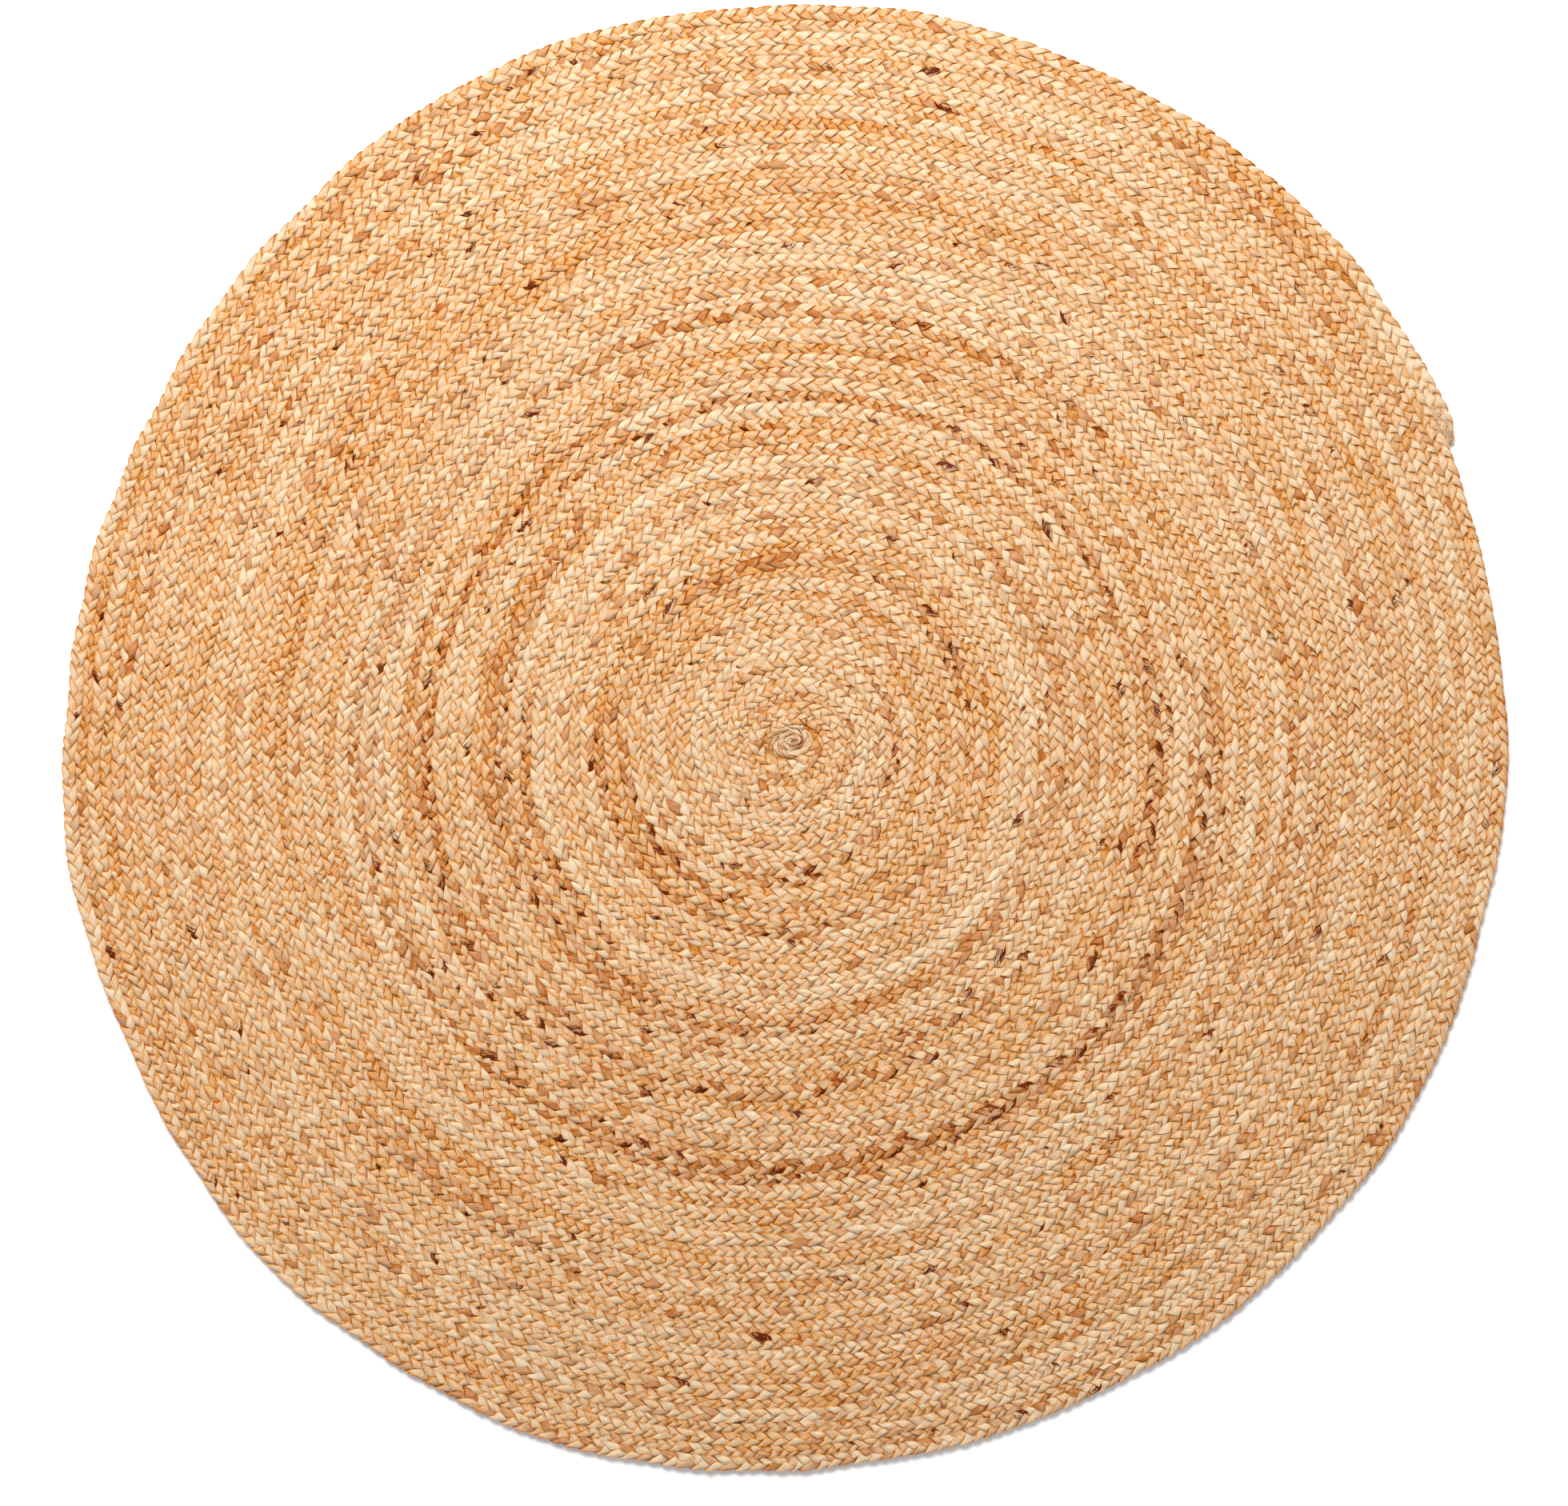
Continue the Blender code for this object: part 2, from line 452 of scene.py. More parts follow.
class Plait:
    """One of the two plaits, as the coil carries it, with the lobes' own unevenness and colours."""

    def __init__(self, kind, coil, sizes):
        self.kind, self.coil, self.sizes, self.seed = kind, coil, sizes, SEEDS[kind]
        if kind == "coarse":
            self.lobe, self.height, self.width = sizes.coarse_lobe, sizes.thickness, coil.coarse
            self.first_turn, self.last_turn = 0, sizes.turns + COARSE_STOP
        else:
            self.lobe, self.height, self.width = sizes.fine_lobe, sizes.fine_thickness, coil.fine
            self.first_turn = (FINE_END - COARSE_END + FINE_TIP) / 360
            self.last_turn = sizes.turns + FINE_STOP
        self.set_rows(TOP_ROWS[kind])
        self.measure()
        self.cast_lobes()

    def set_rows(self, top):
        """Sets the rows of points round the plait, and its width when it is pressed flat."""
        self.across = np.array(top + ROWS_BELOW + top[:1])
        self.last_top = len(top) - 1
        self.under = np.arange(len(self.across)) > self.last_top
        self.under[-1] = False
        crests = self.height * np.interp(np.abs(self.across), SECTION_PLACES, SECTION_HEIGHTS)
        crests[self.under] = 0
        self.pressed_width = np.hypot(np.diff(self.across) * self.width / 2, np.diff(crests)).sum() / 2

    def measure(self):
        """Counts metres and lobes along the plait in close steps."""
        self.turns = np.linspace(self.first_turn, self.last_turn, 30000)
        inner, outer = self.coil.edges(self.kind, self.turns)
        middle = (inner + outer) / 2
        steps = np.diff(self.turns) * math.tau * (middle[1:] + middle[:-1]) / 2
        self.metres = np.concatenate(([0], np.cumsum(steps)))
        squeezed = 1 - SQUEEZE * np.exp(-((inner[1:] / SQUEEZE_REACH) ** 2))
        change = LOBE_LENGTH_CHANGE * uneven(self.metres[1:], LOBE_LENGTH_SPACING, self.seed)
        self.phases = np.concatenate(([0], np.cumsum(steps / (self.lobe * squeezed * (1 + change)))))

    def cast_lobes(self):
        """Draws each lobe's own shape and colours. Lobe -1, half of which shows, is second in each list."""
        dice = np.random.default_rng(self.seed)
        numbers = np.arange(-2, 2 * int(self.phases[-1]) + 12)
        count = len(numbers)
        self.shove = dice.normal(0, 0.16, count)  # along the plait, in lobe lengths
        self.lift = dice.normal(0, 0.0006, count)  # of its crest
        self.cut = dice.uniform(0.45, 1.35, count)  # its crease's share of the usual depth
        self.bulge = dice.uniform(0, 1, count)  # how full it is
        self.reach = dice.uniform(0.5, 1.5, count)  # its tip's share of the usual swing over the seam
        self.mark = dice.uniform(0, 1, count)  # tells its pattern from the others'
        self.cast_colours(dice, numbers)

    def cast_colours(self, dice, numbers):
        """Draws tone, grey, tint and root of each lobe: by stretches, by strand and for each alone."""
        count, strand = len(numbers), numbers % 3
        metres = np.interp(numbers / 2, self.phases, self.metres)
        turns = np.interp(numbers / 2, self.phases, self.turns)
        tone = 0.2 + wavering(metres, ((0.07, 0.14, self.seed + 50), (0.08, 0.8, self.seed + 51)))
        tone += dice.normal(0, 0.07, count)
        grey = np.zeros(count)
        tint = np.where(dice.uniform(size=count) < 0.05, dice.uniform(0.2, 0.9, count), 0)
        root_chance = np.full(count, 0.012)
        for number in range(3):
            own = strand == number
            at, seed = metres[own], self.seed + number
            tone[own] += wavering(at, ((0.07, 0.09, seed), (0.1, 0.9, seed + 10)))
            grey[own] = np.clip(uneven(at, 0.16, seed + 20) * 1.3 - 0.75, 0, 1)
            stained = np.clip(uneven(at, 0.5, seed + 30) * 1.5 - 0.7, 0, 1)
            tint[own] += stained * dice.uniform(0.1, 1, own.sum())
            root_chance[own] += 0.05 * stained
        for kind, first, last, number, depth, root_share in TINTED_STRANDS:
            beside = (turns > first) & (turns < last) & (kind == self.kind)
            tint[beside] += 0.2 * depth * dice.uniform(0, 1, beside.sum())
            run = beside & (strand == number)
            tint[run] += depth * dice.uniform(0.5, 1, run.sum())
            root_chance[run] = min(1.8 * root_share, 0.9)
        self.tone, self.grey, self.tint = tone, grey, np.clip(tint, 0, 1)
        self.root = np.where(dice.uniform(size=count) < root_chance, dice.uniform(0.4, 0.95, count), 0)

    def ways(self):
        """Metres along a strand from the seam to each row, over the edge and back below, and to the edge."""
        places = np.linspace(0, 1, 400)
        steps = np.hypot(np.diff(places) * self.width / 2, np.diff(lag(places, False)) * self.lobe)
        metres = np.concatenate(([0], np.cumsum(steps)))
        way = np.interp(np.abs(self.across), places, metres)
        return np.where(self.under, 2 * metres[-1] - way, way), metres[-1]

    def sideways(self, across, under, column, turn, dice):
        """Places across the plait in half widths, with the seam's swing and the lobes full at the edges."""
        lobe, step = lobe_at(column, across > 0)
        group, at = np.divmod(column, IN_LOBE)
        crossing = 2 * group + 2 + (at == IN_LOBE - 1)
        swing = self.sizes.seam_swing * self.reach[crossing] * SEAM_SWING[at]
        swing *= np.clip(1 - SWING_FADE * np.abs(across), 0, 1)
        at_edge = np.abs(across) == 1
        least, more = EDGE_SCALLOP
        scallop = np.where(at_edge, least + more * self.bulge[lobe] * (1 - CREASED[step]), 0)
        at_rim = at_edge & (across > 0) & (turn < 1) & (self.kind == "coarse")
        scallop = np.where(at_rim, RIM_SCALLOP[step], scallop)
        rough = np.where(at_edge, 0, dice.normal(0, ROUGH_SIDEWAYS, len(across)))
        return across + np.where(under, 0, swing) + np.sign(across) * scallop + rough

    def heights(self, across, under, lobe, step, dice):
        """Heights on the plait's rounded section, with its creases, the tips' dips and the lobes' lift."""
        across, creased = np.abs(across), CREASED[step]
        dome = self.height * np.interp(across, SECTION_PLACES, SECTION_HEIGHTS)
        cut = self.cut[np.where(step == IN_LOBE - 1, lobe + 2, lobe)]
        depth = cut * self.sizes.crease_depth * np.interp(across, SECTION_PLACES, SECTION_CREASES)
        dip = TIP_DIP * SEAM_SWING[step] * np.clip(4 * across * (1 - 1.6 * across), 0, 1)
        crowned = (1 - creased) * np.clip(4 * across * (1 - across), 0, 1)
        top = dome - creased * depth + dip + self.lift[lobe] * crowned
        over_neighbour = EDGE_LIFT * (self.bulge[lobe] - EVEN_FULLNESS) * (1 - creased)
        top += np.where(across == 1, over_neighbour, dice.normal(0, ROUGH_HEIGHT, len(top)))
        return np.where(under, LOW_GAP + LOW_CREASE * creased, top)

    def span(self, name, first_column, last_column, material):
        """One closed length of the plait between two of its columns."""
        lattice = Lattice(name, last_column - first_column, len(self.across) - 1)
        dice = np.random.default_rng(self.seed + first_column)
        across, under = self.across[lattice.row], self.under[lattice.row]
        column = lattice.column + first_column
        lobe, step = lobe_at(column, across > 0)

        # Points at the seam follow their columns, and those from half way out follow their own lobes.
        spread, to_side = SPREAD[step], np.minimum(np.abs(across) / 0.5, 1)
        side_phase = lobe / 2 - 1 + spread + self.shove[lobe] * (1 - spread) + self.shove[lobe + 2] * spread
        phase = column / IN_LOBE * (1 - to_side) + side_phase * to_side - lag(across, under)
        phase = np.clip(phase, 0, self.phases[-1])
        turn = np.interp(phase, self.phases, self.turns)

        sideways = self.sideways(across, under, column, turn, dice)
        inner, outer = self.coil.edges(self.kind, turn)
        if self.kind == "coarse":
            narrowing = BLUNT_NARROWING * np.exp(-((phase / BLUNT_LOBES) ** 2))
            outer = inner + (outer - inner) * (1 - narrowing)
        half = (outer - inner) / 2
        flatter = np.clip(half / self.width * 2, 0.35, 1) ** 0.5
        height = self.heights(across, under, lobe, step, dice) * flatter
        lattice.lay(self.coil.placed(turn, (inner + outer) / 2 + half * sideways, height))

        self.colour(lattice, first_column)
        lattice.close()
        piece = add_piece(lattice.mesh, material)
        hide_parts("rug")

    def colour(self, lattice, first_column):
        """Gives faces their lobe's colours, and corners their place along and across the strand."""
        row_middle = (self.across[lattice.face_row] + self.across[lattice.face_row + 1]) / 2
        column = lattice.face_column + first_column
        at_seam = np.abs(row_middle) < 0.01
        outer_side = np.where(at_seam, column % IN_LOBE >= IN_LOBE // 2, row_middle > 0)
        lobe, step = lobe_at(column, outer_side)
        for name in ("tone", "grey", "tint", "root", "mark"):
            lattice.give_faces(name, getattr(self, name)[lobe])
        spread = SPREAD[lattice.corner_column - np.repeat(lattice.face_column - step, 4)]
        way, to_edge = self.ways()
        lattice.give_map("strand", way[lattice.corner_row] / to_edge, (spread - 0.5) * 2)
        girths = np.concatenate(([0], np.cumsum(np.abs(np.diff(np.where(self.across < 0, -way, way))))))
        girths -= (1 - BAKE_BELOW) * np.maximum(girths - girths[self.last_top], 0)
        lattice.give_bake_map(lattice.columns / IN_LOBE * self.lobe, girths)

    def wind(self, material):
        """Makes the whole plait in spans of a few turns."""
        last_column = IN_LOBE * (int(self.phases[-1]) + 2)
        cuts = np.arange(self.sizes.turns_in_span, self.last_turn - 1, self.sizes.turns_in_span)
        lobes = [round(np.interp(cut, self.turns, self.phases)) for cut in cuts]
        columns = [0] + [IN_LOBE * lobe for lobe in lobes] + [last_column]
        for number, (first, last) in enumerate(zip(columns, columns[1:]), 1):
            self.span(f"{self.kind}_plait_{number:02d}", first, last, material)


def add_fibres(name, paths, width, height, looks, material, sides=3):
    """Makes bundles of fibres along paths of equally many points, a bundle's looks by attribute name.

    Width and height are a bundle's half width and half height.
    """
    count, places = paths.shape[:2]
    lattice = Lattice(name, count * places - 1, sides)
    bundle, place = np.divmod(lattice.column, places)
    ahead = np.gradient(paths, axis=1)
    ahead /= np.linalg.norm(ahead, axis=2, keepdims=True)
    side = np.cross(ahead, (0, 0, 1))
    side /= np.linalg.norm(side, axis=2, keepdims=True)
    up = np.cross(side, ahead)
    along = place / (places - 1)
    taper = 0.25 + 0.75 * np.sin(math.pi * along) ** 0.5
    angle = (lattice.row % sides / sides - 0.25) * math.tau
    across = side[bundle, place] * (width[bundle] * taper * np.cos(angle))[:, None]
    upwards = up[bundle, place] * (height[bundle] * taper * np.sin(angle))[:, None]
    points = paths[bundle, place] + across + upwards
    points[:, 2] = np.maximum(points[:, 2], LOW_GAP)
    lattice.lay(points)

    own = lattice.face_column // places
    for attribute, values in looks.items():
        lattice.give_faces(attribute, values[own])
    own = np.repeat(own, 4)
    share, round_it = (lattice.corner_column - own * places) / places, lattice.corner_row / sides
    # A bundle takes the middle of a lobe's map, clear of the painted shade at the seam, edge and sides.
    lattice.give_map("strand", 0.2 + 0.4 * share, 1.6 * (round_it - 0.5))
    # In the bake map it has a cell to itself.
    cells, inside = math.ceil(math.sqrt(count)), 1 - 2 * CELL_EDGE
    across_cell, up_cell = CELL_EDGE + inside * share, CELL_EDGE + inside * round_it
    lattice.give_map("OFBake", (own % cells + across_cell) / cells, (own // cells + up_cell) / cells)
    lattice.close(every=places)
    piece = add_piece(lattice.mesh, material)
    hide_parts("rug")


def fibre_looks(dice, count, tone, grey, tint=0.05, root=0):
    """Looks drawn for each bundle, tint and root being the shares of bundles that have some."""
    return {
        "tone": dice.normal(tone, 0.15, count),
        "grey": dice.uniform(0, 2 * grey, count).clip(0, 1),
        "tint": dice.uniform(0, 1, count) * (dice.uniform(size=count) < tint),
        "root": 0.9 * (dice.uniform(size=count) < root),
        "mark": dice.uniform(0, 1, count),
    }


def wiggle(dice, count, places, size):
    """Smooth wandering of so many paths, size being the usual height of a wave as long as the path."""
    along = np.linspace(0, 1, places)
    waves = 0
    for bends in (0.5, 1, 2):
        phase = dice.uniform(0, math.tau, (count, 1))
        height = dice.normal(0, size / bends**0.7, (count, 1))
        waves = waves + height * np.sin(math.tau * bends * along + phase)
    return waves


def add_piece(mesh, material):
    """Shows a mesh as a piece of the rug with the finish of its jute."""
    mesh.materials.clear()
    mesh.materials.append(material)
    piece = bpy.data.objects.new(mesh.name, mesh)
    bpy.context.scene.collection.objects.link(piece)
    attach(piece, "root")
    return piece


def add(tree, kind, inputs=None, **settings):
    """Adds a node with its settings, and with its inputs linked or set by name or number.

    A Map Range takes a value at 0, and turns the range from 1 to 2 into the one from 3 to 4.
    """
    node = tree.nodes.new(kind)
    for name, value in settings.items():
        setattr(node, name, value)
    for socket, value in (inputs or {}).items():
        if isinstance(value, bpy.types.NodeSocket):
            tree.links.new(value, node.inputs[socket])
        else:
            node.inputs[socket].default_value = value
    return node


def lobe_noise(tree, lobe_place, scale, detail):
    """Noise on a lobe's own map, scale being its cells along the strand and in half the strand's width."""
    scaled = {0: lobe_place, 1: (*scale, 1)}
    place = add(tree, "ShaderNodeVectorMath", scaled, operation="MULTIPLY").outputs[0]
    return add(tree, "ShaderNodeTexNoise", {"Vector": place, "Scale": 1, "Detail": detail}).outputs["Fac"]


def painted_crease_shade(tree, along, across, mark):
    """Painted shade: how light each spot is kept. A lobe darkens to its neighbours, the seam and the plait's
    edge, where shade falls.
    """
    sideways = add(tree, "ShaderNodeMath", {0: across}, operation="ABSOLUTE").outputs[0]
    spared = add(tree, "ShaderNodeMapRange", {0: mark, 3: 0.5, 4: 0}).outputs[0]
    crest = 1
    for socket, dark, bright, least in (
        (sideways, 1, 0.74, spared),
        (along, 0, 0.1, 0),
        (along, 0.92, 0.74, 0.3),
    ):
        edge = {0: socket, 1: dark, 2: bright, 3: least}
        edge = add(tree, "ShaderNodeMapRange", edge, interpolation_type="SMOOTHSTEP").outputs[0]
        crest = add(tree, "ShaderNodeMath", {0: crest, 1: edge}, operation="MULTIPLY").outputs[0]
    # Painted shade: the lower a spot lies between the crests, the darker and browner its colour, in place of
    # the shade in the hollows.
    spot = add(tree, "ShaderNodeTexCoord").outputs["Object"]
    level = add(tree, "ShaderNodeSeparateXYZ", {0: spot}).outputs["Z"]
    above = add(tree, "ShaderNodeMapRange", {0: level, 1: 0.0058, 2: 0.0084, 3: 0.3, 4: 1}).outputs[0]
    return add(tree, "ShaderNodeMath", {0: crest, 1: above}, operation="MULTIPLY").outputs[0]


def painted_gap_shade(tree, lobe_place):
    """Painted shade in the thin gaps that part the strand into bundles 1 to 2 mm wide: what it takes off the
    paleness.
    """
    parted = lobe_noise(tree, lobe_place, (0.8, 4), 1)
    parted = add(tree, "ShaderNodeMath", {0: parted, 1: 0.5}, operation="SUBTRACT").outputs[0]
    parted = add(tree, "ShaderNodeMath", {0: parted}, operation="ABSOLUTE").outputs[0]
    return add(tree, "ShaderNodeMapRange", {0: parted, 1: 0, 2: 0.025, 3: -0.35, 4: 0}).outputs[0]


def left_bark(tree, across, root, patches, fibres):
    """Where bark is left: in patches, and mostly along one side of a strand."""
    bark = add(tree, "ShaderNodeMath", {0: across, 1: 0.32, 2: root}, operation="MULTIPLY_ADD").outputs[0]
    bark = add(tree, "ShaderNodeMath", {0: patches, 1: 1.5, 2: bark}, operation="MULTIPLY_ADD").outputs[0]
    bark = add(tree, "ShaderNodeMath", {0: fibres, 1: 1.7, 2: bark}, operation="MULTIPLY_ADD").outputs[0]
    return add(tree, "ShaderNodeMapRange", {0: bark, 1: 2.31, 2: 2.5}).outputs[0]


def plaited_jute(colours):
    """Retted jute: long pale fibres, combed into flat strands and plaited by hand.

    The eye sees matt straw with fine streaks along each strand, and brown creases, whose shade is painted
    into the colour as well as cast by the relief.
    """
    finish = "plaited_retted_jute"
    if finish in bpy.data.materials:
        return bpy.data.materials[finish]
    material = bpy.data.materials.new(finish)
    material.use_nodes = True
    tree = material.node_tree
    shader = tree.nodes["Principled BSDF"]
    shader.inputs["Roughness"].default_value = 0.72
    shader.inputs["Specular IOR Level"].default_value = 0.05

    tone, grey, tint, root, mark = (
        add(tree, "ShaderNodeAttribute", attribute_name=name).outputs["Fac"]
        for name in ("tone", "grey", "tint", "root", "mark")
    )
    strand = add(tree, "ShaderNodeUVMap", uv_map="strand").outputs["UV"]
    place = add(tree, "ShaderNodeSeparateXYZ", {0: strand})
    along, across = place.outputs["X"], place.outputs["Y"]

    # A lobe is about 11 mm from seam to edge, where its map runs from 0 to 1, and 9 mm across, from -1 to 1.
    # Single fibres are too fine to show, so bundles 0.6 mm wide and 6 mm long are drawn.
    other = add(tree, "ShaderNodeMath", {0: mark, 1: 60}, operation="MULTIPLY").outputs[0]
    lobe_place = add(tree, "ShaderNodeCombineXYZ", {"X": along, "Y": across, "Z": other}).outputs[0]
    fibres = lobe_noise(tree, lobe_place, (1.8, 7), 3)
    patches = lobe_noise(tree, lobe_place, (1.4, 1.1), 2)

    # Painted shade in the creases, at the seam, at the plait's edge and in the hollows; the crests stay
    # light.
    crest = painted_crease_shade(tree, along, across, mark)
    paleness = add(tree, "ShaderNodeMath", {0: crest, 1: 0.57, 2: tone}, operation="MULTIPLY_ADD").outputs[0]
    combing = add(tree, "ShaderNodeMapRange", {0: fibres, 1: 0.32, 2: 0.58, 3: -0.3, 4: 0.08}).outputs[0]
    # The fibre streaks' combing, and the painted shade in the gaps between bundles.
    for change in (combing, painted_gap_shade(tree, lobe_place)):
        paleness = add(tree, "ShaderNodeMath", {0: paleness, 1: change}, operation="ADD").outputs[0]

    body = add(tree, "ShaderNodeValToRGB", {"Fac": paleness})
    ramp = body.color_ramp.elements
    ramp[0].position, ramp[0].color = 0.0, colours.brown
    ramp[1].position, ramp[1].color = 0.88, colours.cream
    ramp.new(0.25).color = colours.tan
    ramp.new(0.55).color = colours.straw
    jute = body.outputs["Color"]

    faded = add(tree, "ShaderNodeMapRange", {0: paleness, 1: 0.1, 2: 0.7, 3: 0, 4: 0.45}).outputs[0]
    grey_share = add(tree, "ShaderNodeMath", {0: grey, 1: faded}, operation="MULTIPLY").outputs[0]
    jute = add(tree, "ShaderNodeMix", {0: grey_share, 6: jute, 7: colours.grey}, data_type="RGBA").outputs[2]
    stain = add(tree, "ShaderNodeMapRange", {0: patches, 1: 0.25, 2: 0.6, 3: 0.4, 4: 1}).outputs[0]
    stain = add(tree, "ShaderNodeMath", {0: stain, 1: tint}, operation="MULTIPLY").outputs[0]
    glaze = {0: stain, 6: jute, 7: colours.stain}
    jute = add(tree, "ShaderNodeMix", glaze, data_type="RGBA", blend_type="MULTIPLY").outputs[2]
    bark = left_bark(tree, across, root, patches, fibres)
    jute = add(tree, "ShaderNodeMix", {0: bark, 6: jute, 7: colours.root}, data_type="RGBA").outputs[2]
    tree.links.new(jute, shader.inputs["Base Color"])

    bump = add(tree, "ShaderNodeBump", {"Height": fibres, "Distance": 0.0002, "Strength": 0.6})
    tree.links.new(bump.outputs[0], shader.inputs["Normal"])
    return material


def matt_white_paint():
    """Flat wall paint, which scatters the light and hardly shines."""
    paint = bpy.data.materials.new("matt_white_paint")
    paint.use_nodes = True
    shader = paint.node_tree.nodes["Principled BSDF"]
    shader.inputs["Base Color"].default_value = linear("#F4F4F4")
    shader.inputs["Roughness"].default_value = 0.9
    return paint


def rug_in(scene):
    """The sizes that are set in a scene, the coil that they give and the jute."""
    return scene.rug_sizes, Coil(scene.rug_sizes), plaited_jute(scene.rug_colours)


class RUG_OT_wind_plaits(Operator):
    """Winds the coarse and the fine plait into the coil"""

    bl_idname = "rug.wind_plaits"
    bl_label = "Wind the plaits"

    def execute(self, context):
        sizes, coil, material = rug_in(context.scene)
        for kind in ("coarse", "fine"):
            Plait(kind, coil, sizes).wind(material)
        return {"FINISHED"}


def add_eye_core(sizes, coil, material, dice):
    """A flat core that fills the eye."""
    share = np.linspace(0, 1, 80)
    radius = sizes.eye_radius * np.interp(share, *CORE_INWARDS)
    turns = sizes.turns + CURL_START + CORE_TURNS * share
    path = coil.placed(turns, radius, np.full(len(share), CORE_THICKNESS))
    looks = fibre_looks(dice, 1, 0.4, 0.2)
    width, height = np.array([CORE_WIDTH]), np.array([CORE_THICKNESS])
    add_fibres("eye_core", path[None], width, height, looks, material, sides=10)


def add_eye_cord(sizes, coil, material, dice):
    """The twisted cord that winds into the middle. Its bundles go over it aslant."""
    count, places = 230, 10
    length = math.pi * CORD_TURNS * sizes.eye_radius
    over = np.linspace(-0.05, 1.05, places) * math.pi
    aslant = CORD_PITCH * dice.uniform(0.5, 1.5, (count, 1)) * (over / math.tau - 0.25)
    along = (dice.uniform(0, 1, (count, 1)) * length + aslant).clip(0, 0.999 * length)
    share = 1 - np.sqrt(1 - along / length)
    radius = sizes.eye_radius * (1 - share) - dice.normal(CORD_HALF, 0.0005, (count, 1)) * np.cos(over)
    radius += wiggle(dice, count, places, 0.0003)
    height = CORD_LEVEL + dice.normal(CORD_HALF, 0.0003, (count, 1)) * np.sin(over)
    paths = coil.paths(sizes.turns + CURL_START + CORD_TURNS * share, radius, height)
    thick = dice.uniform(0.0003, 0.0011, count)
    looks = fibre_looks(dice, count, 0.45, 0.12, tint=0.35, root=0.05)
    add_fibres("eye_bundles", paths, thick, 0.6 * thick, looks, material, sides=6)


class RUG_OT_curl_eye(Operator):
    """Curls the plaits' loose inner ends into the eye"""

    bl_idname = "rug.curl_eye"
    bl_label = "Curl the eye"

    def execute(self, context):
        rug, dice = rug_in(context.scene), np.random.default_rng(31)
        add_eye_core(*rug, dice)
        add_eye_cord(*rug, dice)
        return {"FINISHED"}


class RUG_OT_fray_ends(Operator):
    """Frays the plaits' outer ends"""

    bl_idname = "rug.fray_ends"
    bl_label = "Fray the ends"

    def execute(self, context):
        sizes, coil, material = rug_in(context.scene)
        dice = np.random.default_rng(41)
        places = 10
        along = np.linspace(0, 1, places)
        for name, count, turn, beyond, turn_spread, spread, reach, low, high, thickest in FRAYED_ENDS:
            length = dice.uniform(0.4, 1, (count, 1)) * reach
            radii = dice.normal(coil.radius - coil.pair + beyond, spread, (count, 1))
            radii = radii + wiggle(dice, count, places, 0.25 * spread)
            radii = radii + dice.normal(0, 0.8 * spread, (count, 1)) * along
            turns = dice.normal(turn, turn_spread, (count, 1))
            turns = turns - (along - 0.3) * length / (math.tau * coil.radius)
            height = dice.uniform(low, high, (count, 1)) - (high - low) * np.abs(2 * along - 1) ** 3
            thick = dice.uniform(0.0001, thickest, count)
            looks = fibre_looks(dice, count, 0.3, 0.15, tint=0.2)
            add_fibres(name, coil.paths(turns, radii, height), thick, 0.6 * thick, looks, material)
        return {"FINISHED"}


def add_loose_fibres(sizes, coil, material, dice):
    """Fibres 14 mm long or so that lie on the plaits in all directions."""
    count, places = LOOSE_FIBRES, 9
    along = np.linspace(-0.5, 0.5, places)
    rough = (coil.radius - 0.006) * np.sqrt(dice.uniform(0, 1, (count, 1)))
    bearing = dice.uniform(0, math.tau, (count, 1))
    heading = dice.uniform(0, math.tau, (count, 1))
    length = dice.gamma(4, 0.0035, (count, 1))
    bend = wiggle(dice, count, places, 0.0011)
    x = rough * np.cos(bearing) + length * along * np.cos(heading) - bend * np.sin(heading)
    y = rough * np.sin(bearing) + length * along * np.sin(heading) + bend * np.cos(heading)
    turns = (np.arctan2(y, x) - math.radians(COARSE_END)) / math.tau
    radii = np.minimum(np.hypot(x, y), coil.radius - 0.004)
    arch = 0.93 * sizes.thickness + 0.0004 * np.cos(math.tau * along)
    paths = coil.paths(turns, radii, arch + dice.normal(0, 0.0003, (count, 1)))
    looks = fibre_looks(dice, count, 0.3, 0.3, tint=0.2)
    thin = dice.uniform(0.00006, 0.00014, count)
    add_fibres("loose_fibres", paths, thin, thin, looks, material)


def add_rim_fibres(sizes, coil, material, dice):
    """Fibres that stand out past the rim, most of them by a few millimetres."""
    count, places = RIM_FIBRES, 8
    along = np.linspace(0, 1, places)
    length = dice.gamma(1.4, 0.0052, (count, 1)).clip(0, 0.03)
    slant = dice.normal(0, 1.2, (count, 1))
    turn = dice.uniform(0, 1, (count, 1))
    radii = coil.coarse_outside(turn) - 0.001 + along * length * np.cos(slant * 0.7)
    beside = along * length * np.sin(slant) + wiggle(dice, count, places, 0.0008)
    turns = turn + beside / (math.tau * coil.radius)
    height = dice.uniform(0.003, 0.006, (count, 1)) * (1 - 0.7 * along) + 0.0003
    looks = fibre_looks(dice, count, 0.2, 0.4, tint=0.2)
    thin = dice.uniform(0.00008, 0.00018, count)
    add_fibres("rim_fibres", coil.paths(turns, radii, height), thin, thin, looks, material)


class RUG_OT_scatter_fibres(Operator):
    """Scatters the fibres that work loose, on the plaits and past the rim"""

    bl_idname = "rug.scatter_fibres"
    bl_label = "Scatter loose fibres"

    def execute(self, context):
        rug, dice = rug_in(context.scene), np.random.default_rng(51)
        add_loose_fibres(*rug, dice)
        add_rim_fibres(*rug, dice)
        return {"FINISHED"}


def add_floor(scene):
    bm = bmesh.new()
    bmesh.ops.create_grid(bm, x_segments=1, y_segments=1, size=scene.rug_stage.floor_side / 2)
    mesh = bpy.data.meshes.new("floor")
    bm.to_mesh(mesh)
    bm.free()
    mesh.materials.append(matt_white_paint())
    floor = bpy.data.objects.new("floor", mesh)
    scene.collection.objects.link(floor)


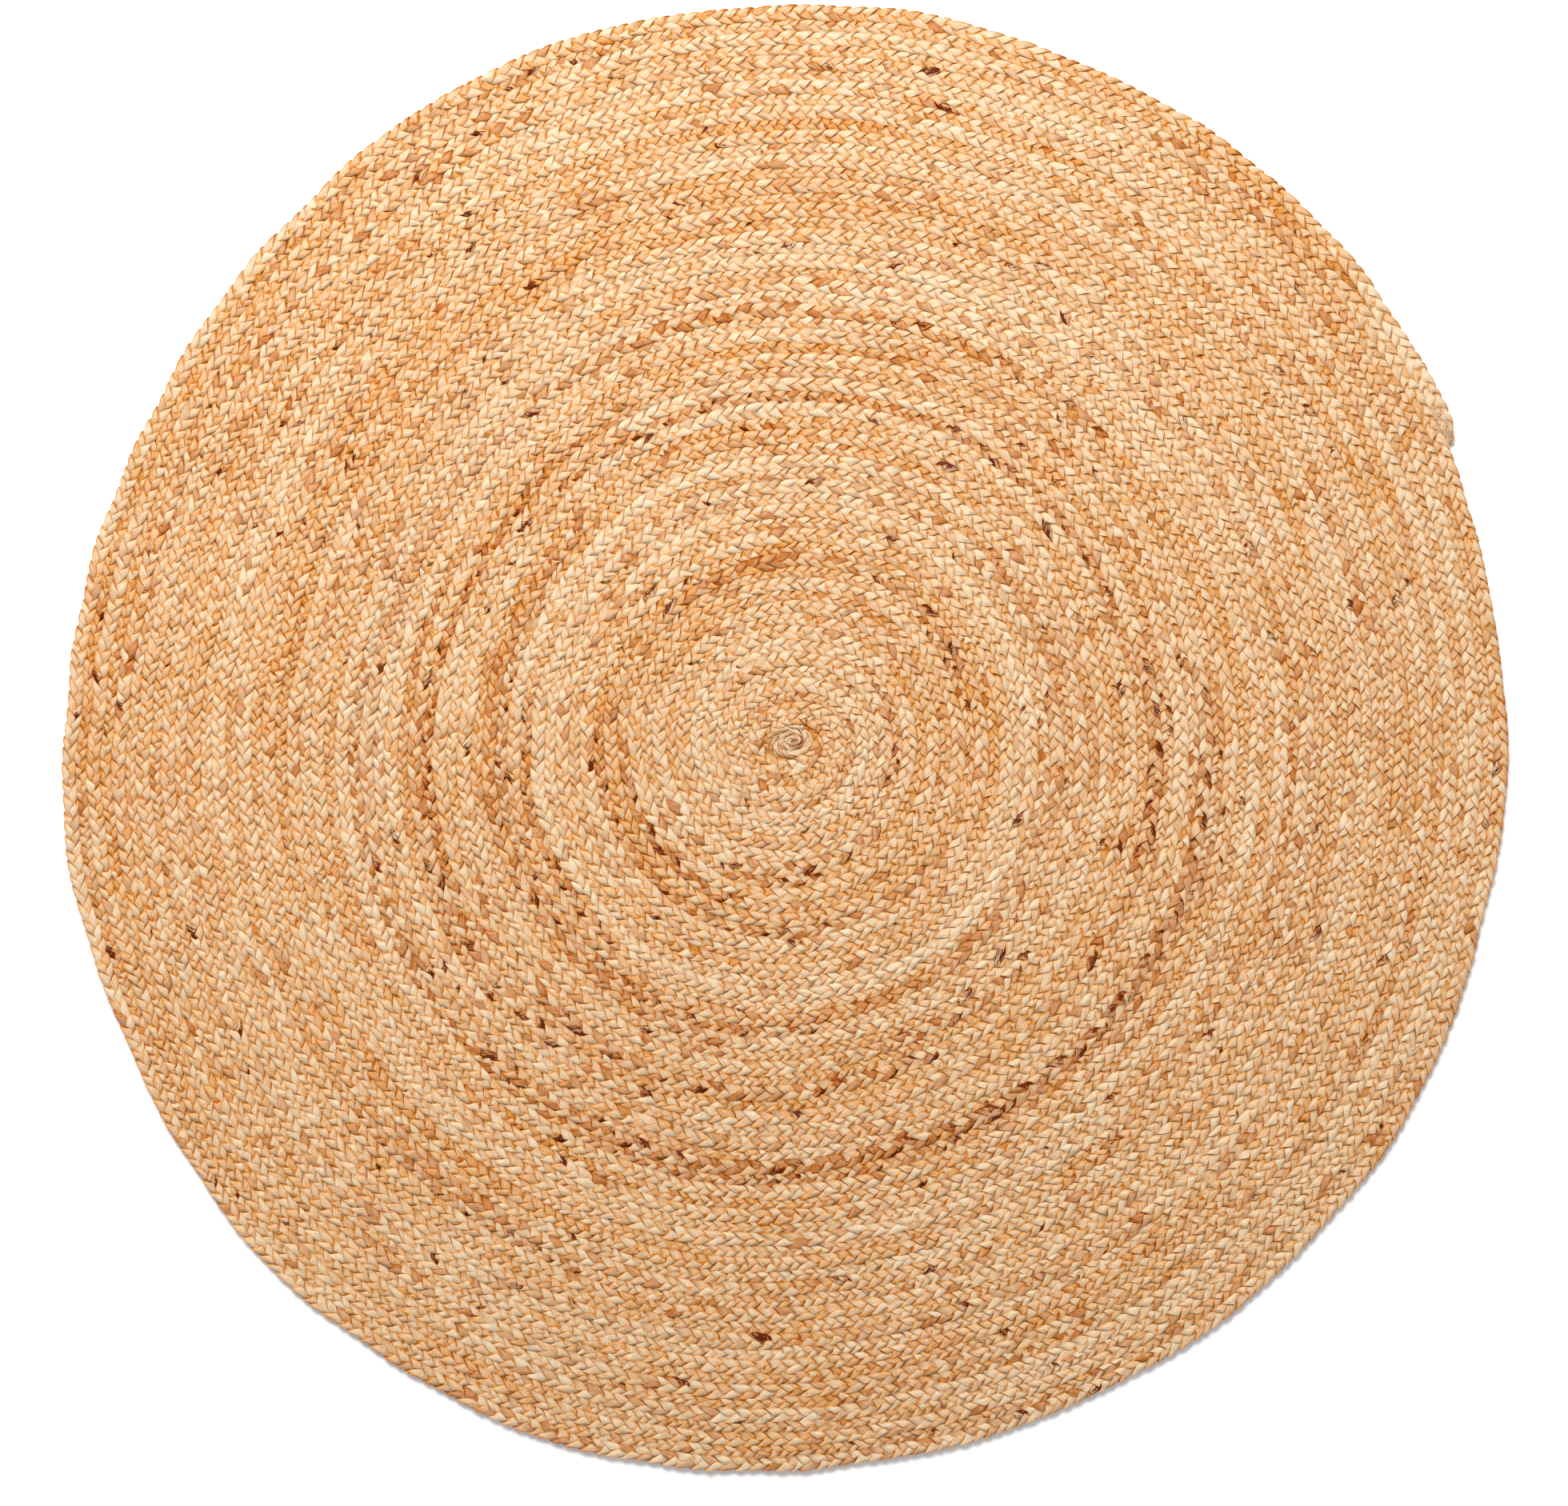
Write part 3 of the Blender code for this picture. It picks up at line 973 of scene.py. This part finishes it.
def add_key_light(scene):
    stage = scene.rug_stage
    lamp = bpy.data.lights.new("key", "AREA")
    lamp.energy, lamp.shape, lamp.size = stage.key_power, "DISK", stage.key_size
    key = bpy.data.objects.new("key", lamp)
    key.location = stage.key_place
    key.rotation_euler = (-key.location).to_track_quat("-Z", "Y").to_euler()
    scene.collection.objects.link(key)


def add_sky(scene):
    world = bpy.data.worlds.new("sky")
    world.use_nodes = True
    world.node_tree.nodes["Background"].inputs["Strength"].default_value = scene.rug_stage.sky
    world.node_tree.nodes["Background"].inputs["Color"].default_value = (1, 1, 1, 1)
    scene.world = world
    scene.view_settings.view_transform = "Standard"


def add_camera(scene):
    """A camera straight above the rug, whose picture is as wide at the rug's top as it is set to be."""
    stage = scene.rug_stage
    lens = bpy.data.cameras.new("camera")
    lens.lens = lens.sensor_width * (stage.camera_height - rug_high[2]) / stage.frame_width
    camera = bpy.data.objects.new("camera", lens)
    camera.location = (*stage.frame_middle, stage.camera_height)
    scene.collection.objects.link(camera)
    scene.camera = camera


class RUG_OT_set_stage(Operator):
    """Sets the floor, the lights and the camera straight above the rug"""

    bl_idname = "rug.set_stage"
    bl_label = "Set the stage"

    def execute(self, context):
        for add_part in (add_floor, add_key_light, add_sky, add_camera):
            add_part(context.scene)
        return {"FINISHED"}


OPERATORS = (
    RUG_OT_wind_plaits,
    RUG_OT_curl_eye,
    RUG_OT_fray_ends,
    RUG_OT_scatter_fibres,
    RUG_OT_set_stage,
)


class RUG_PT_panel(Panel):
    bl_idname = "RUG_PT_panel"
    bl_label = "Jute rug"
    bl_space_type = "VIEW_3D"
    bl_region_type = "UI"
    bl_category = "Jute rug"

    def draw(self, context):
        for operator in OPERATORS:
            self.layout.operator(operator.bl_idname)
        for group in ("rug_sizes", "rug_colours", "rug_stage"):
            settings = getattr(context.scene, group)
            for name in settings.__annotations__:
                self.layout.prop(settings, name)


CLASSES = (CoilSizes, JuteColours, StageSizes, *OPERATORS, RUG_PT_panel)


def register():
    for cls in CLASSES:
        bpy.utils.register_class(cls)
    bpy.types.Scene.rug_sizes = PointerProperty(type=CoilSizes)
    bpy.types.Scene.rug_colours = PointerProperty(type=JuteColours)
    bpy.types.Scene.rug_stage = PointerProperty(type=StageSizes)


def unregister():
    del bpy.types.Scene.rug_stage, bpy.types.Scene.rug_colours, bpy.types.Scene.rug_sizes
    for cls in reversed(CLASSES):
        bpy.utils.unregister_class(cls)


def main():
    register()
    bpy.ops.rug.wind_plaits()
    bpy.ops.rug.curl_eye()
    bpy.ops.rug.fray_ends()
    bpy.ops.rug.scatter_fibres()
    bpy.ops.rug.set_stage()


if __name__ == "__main__":
    main()
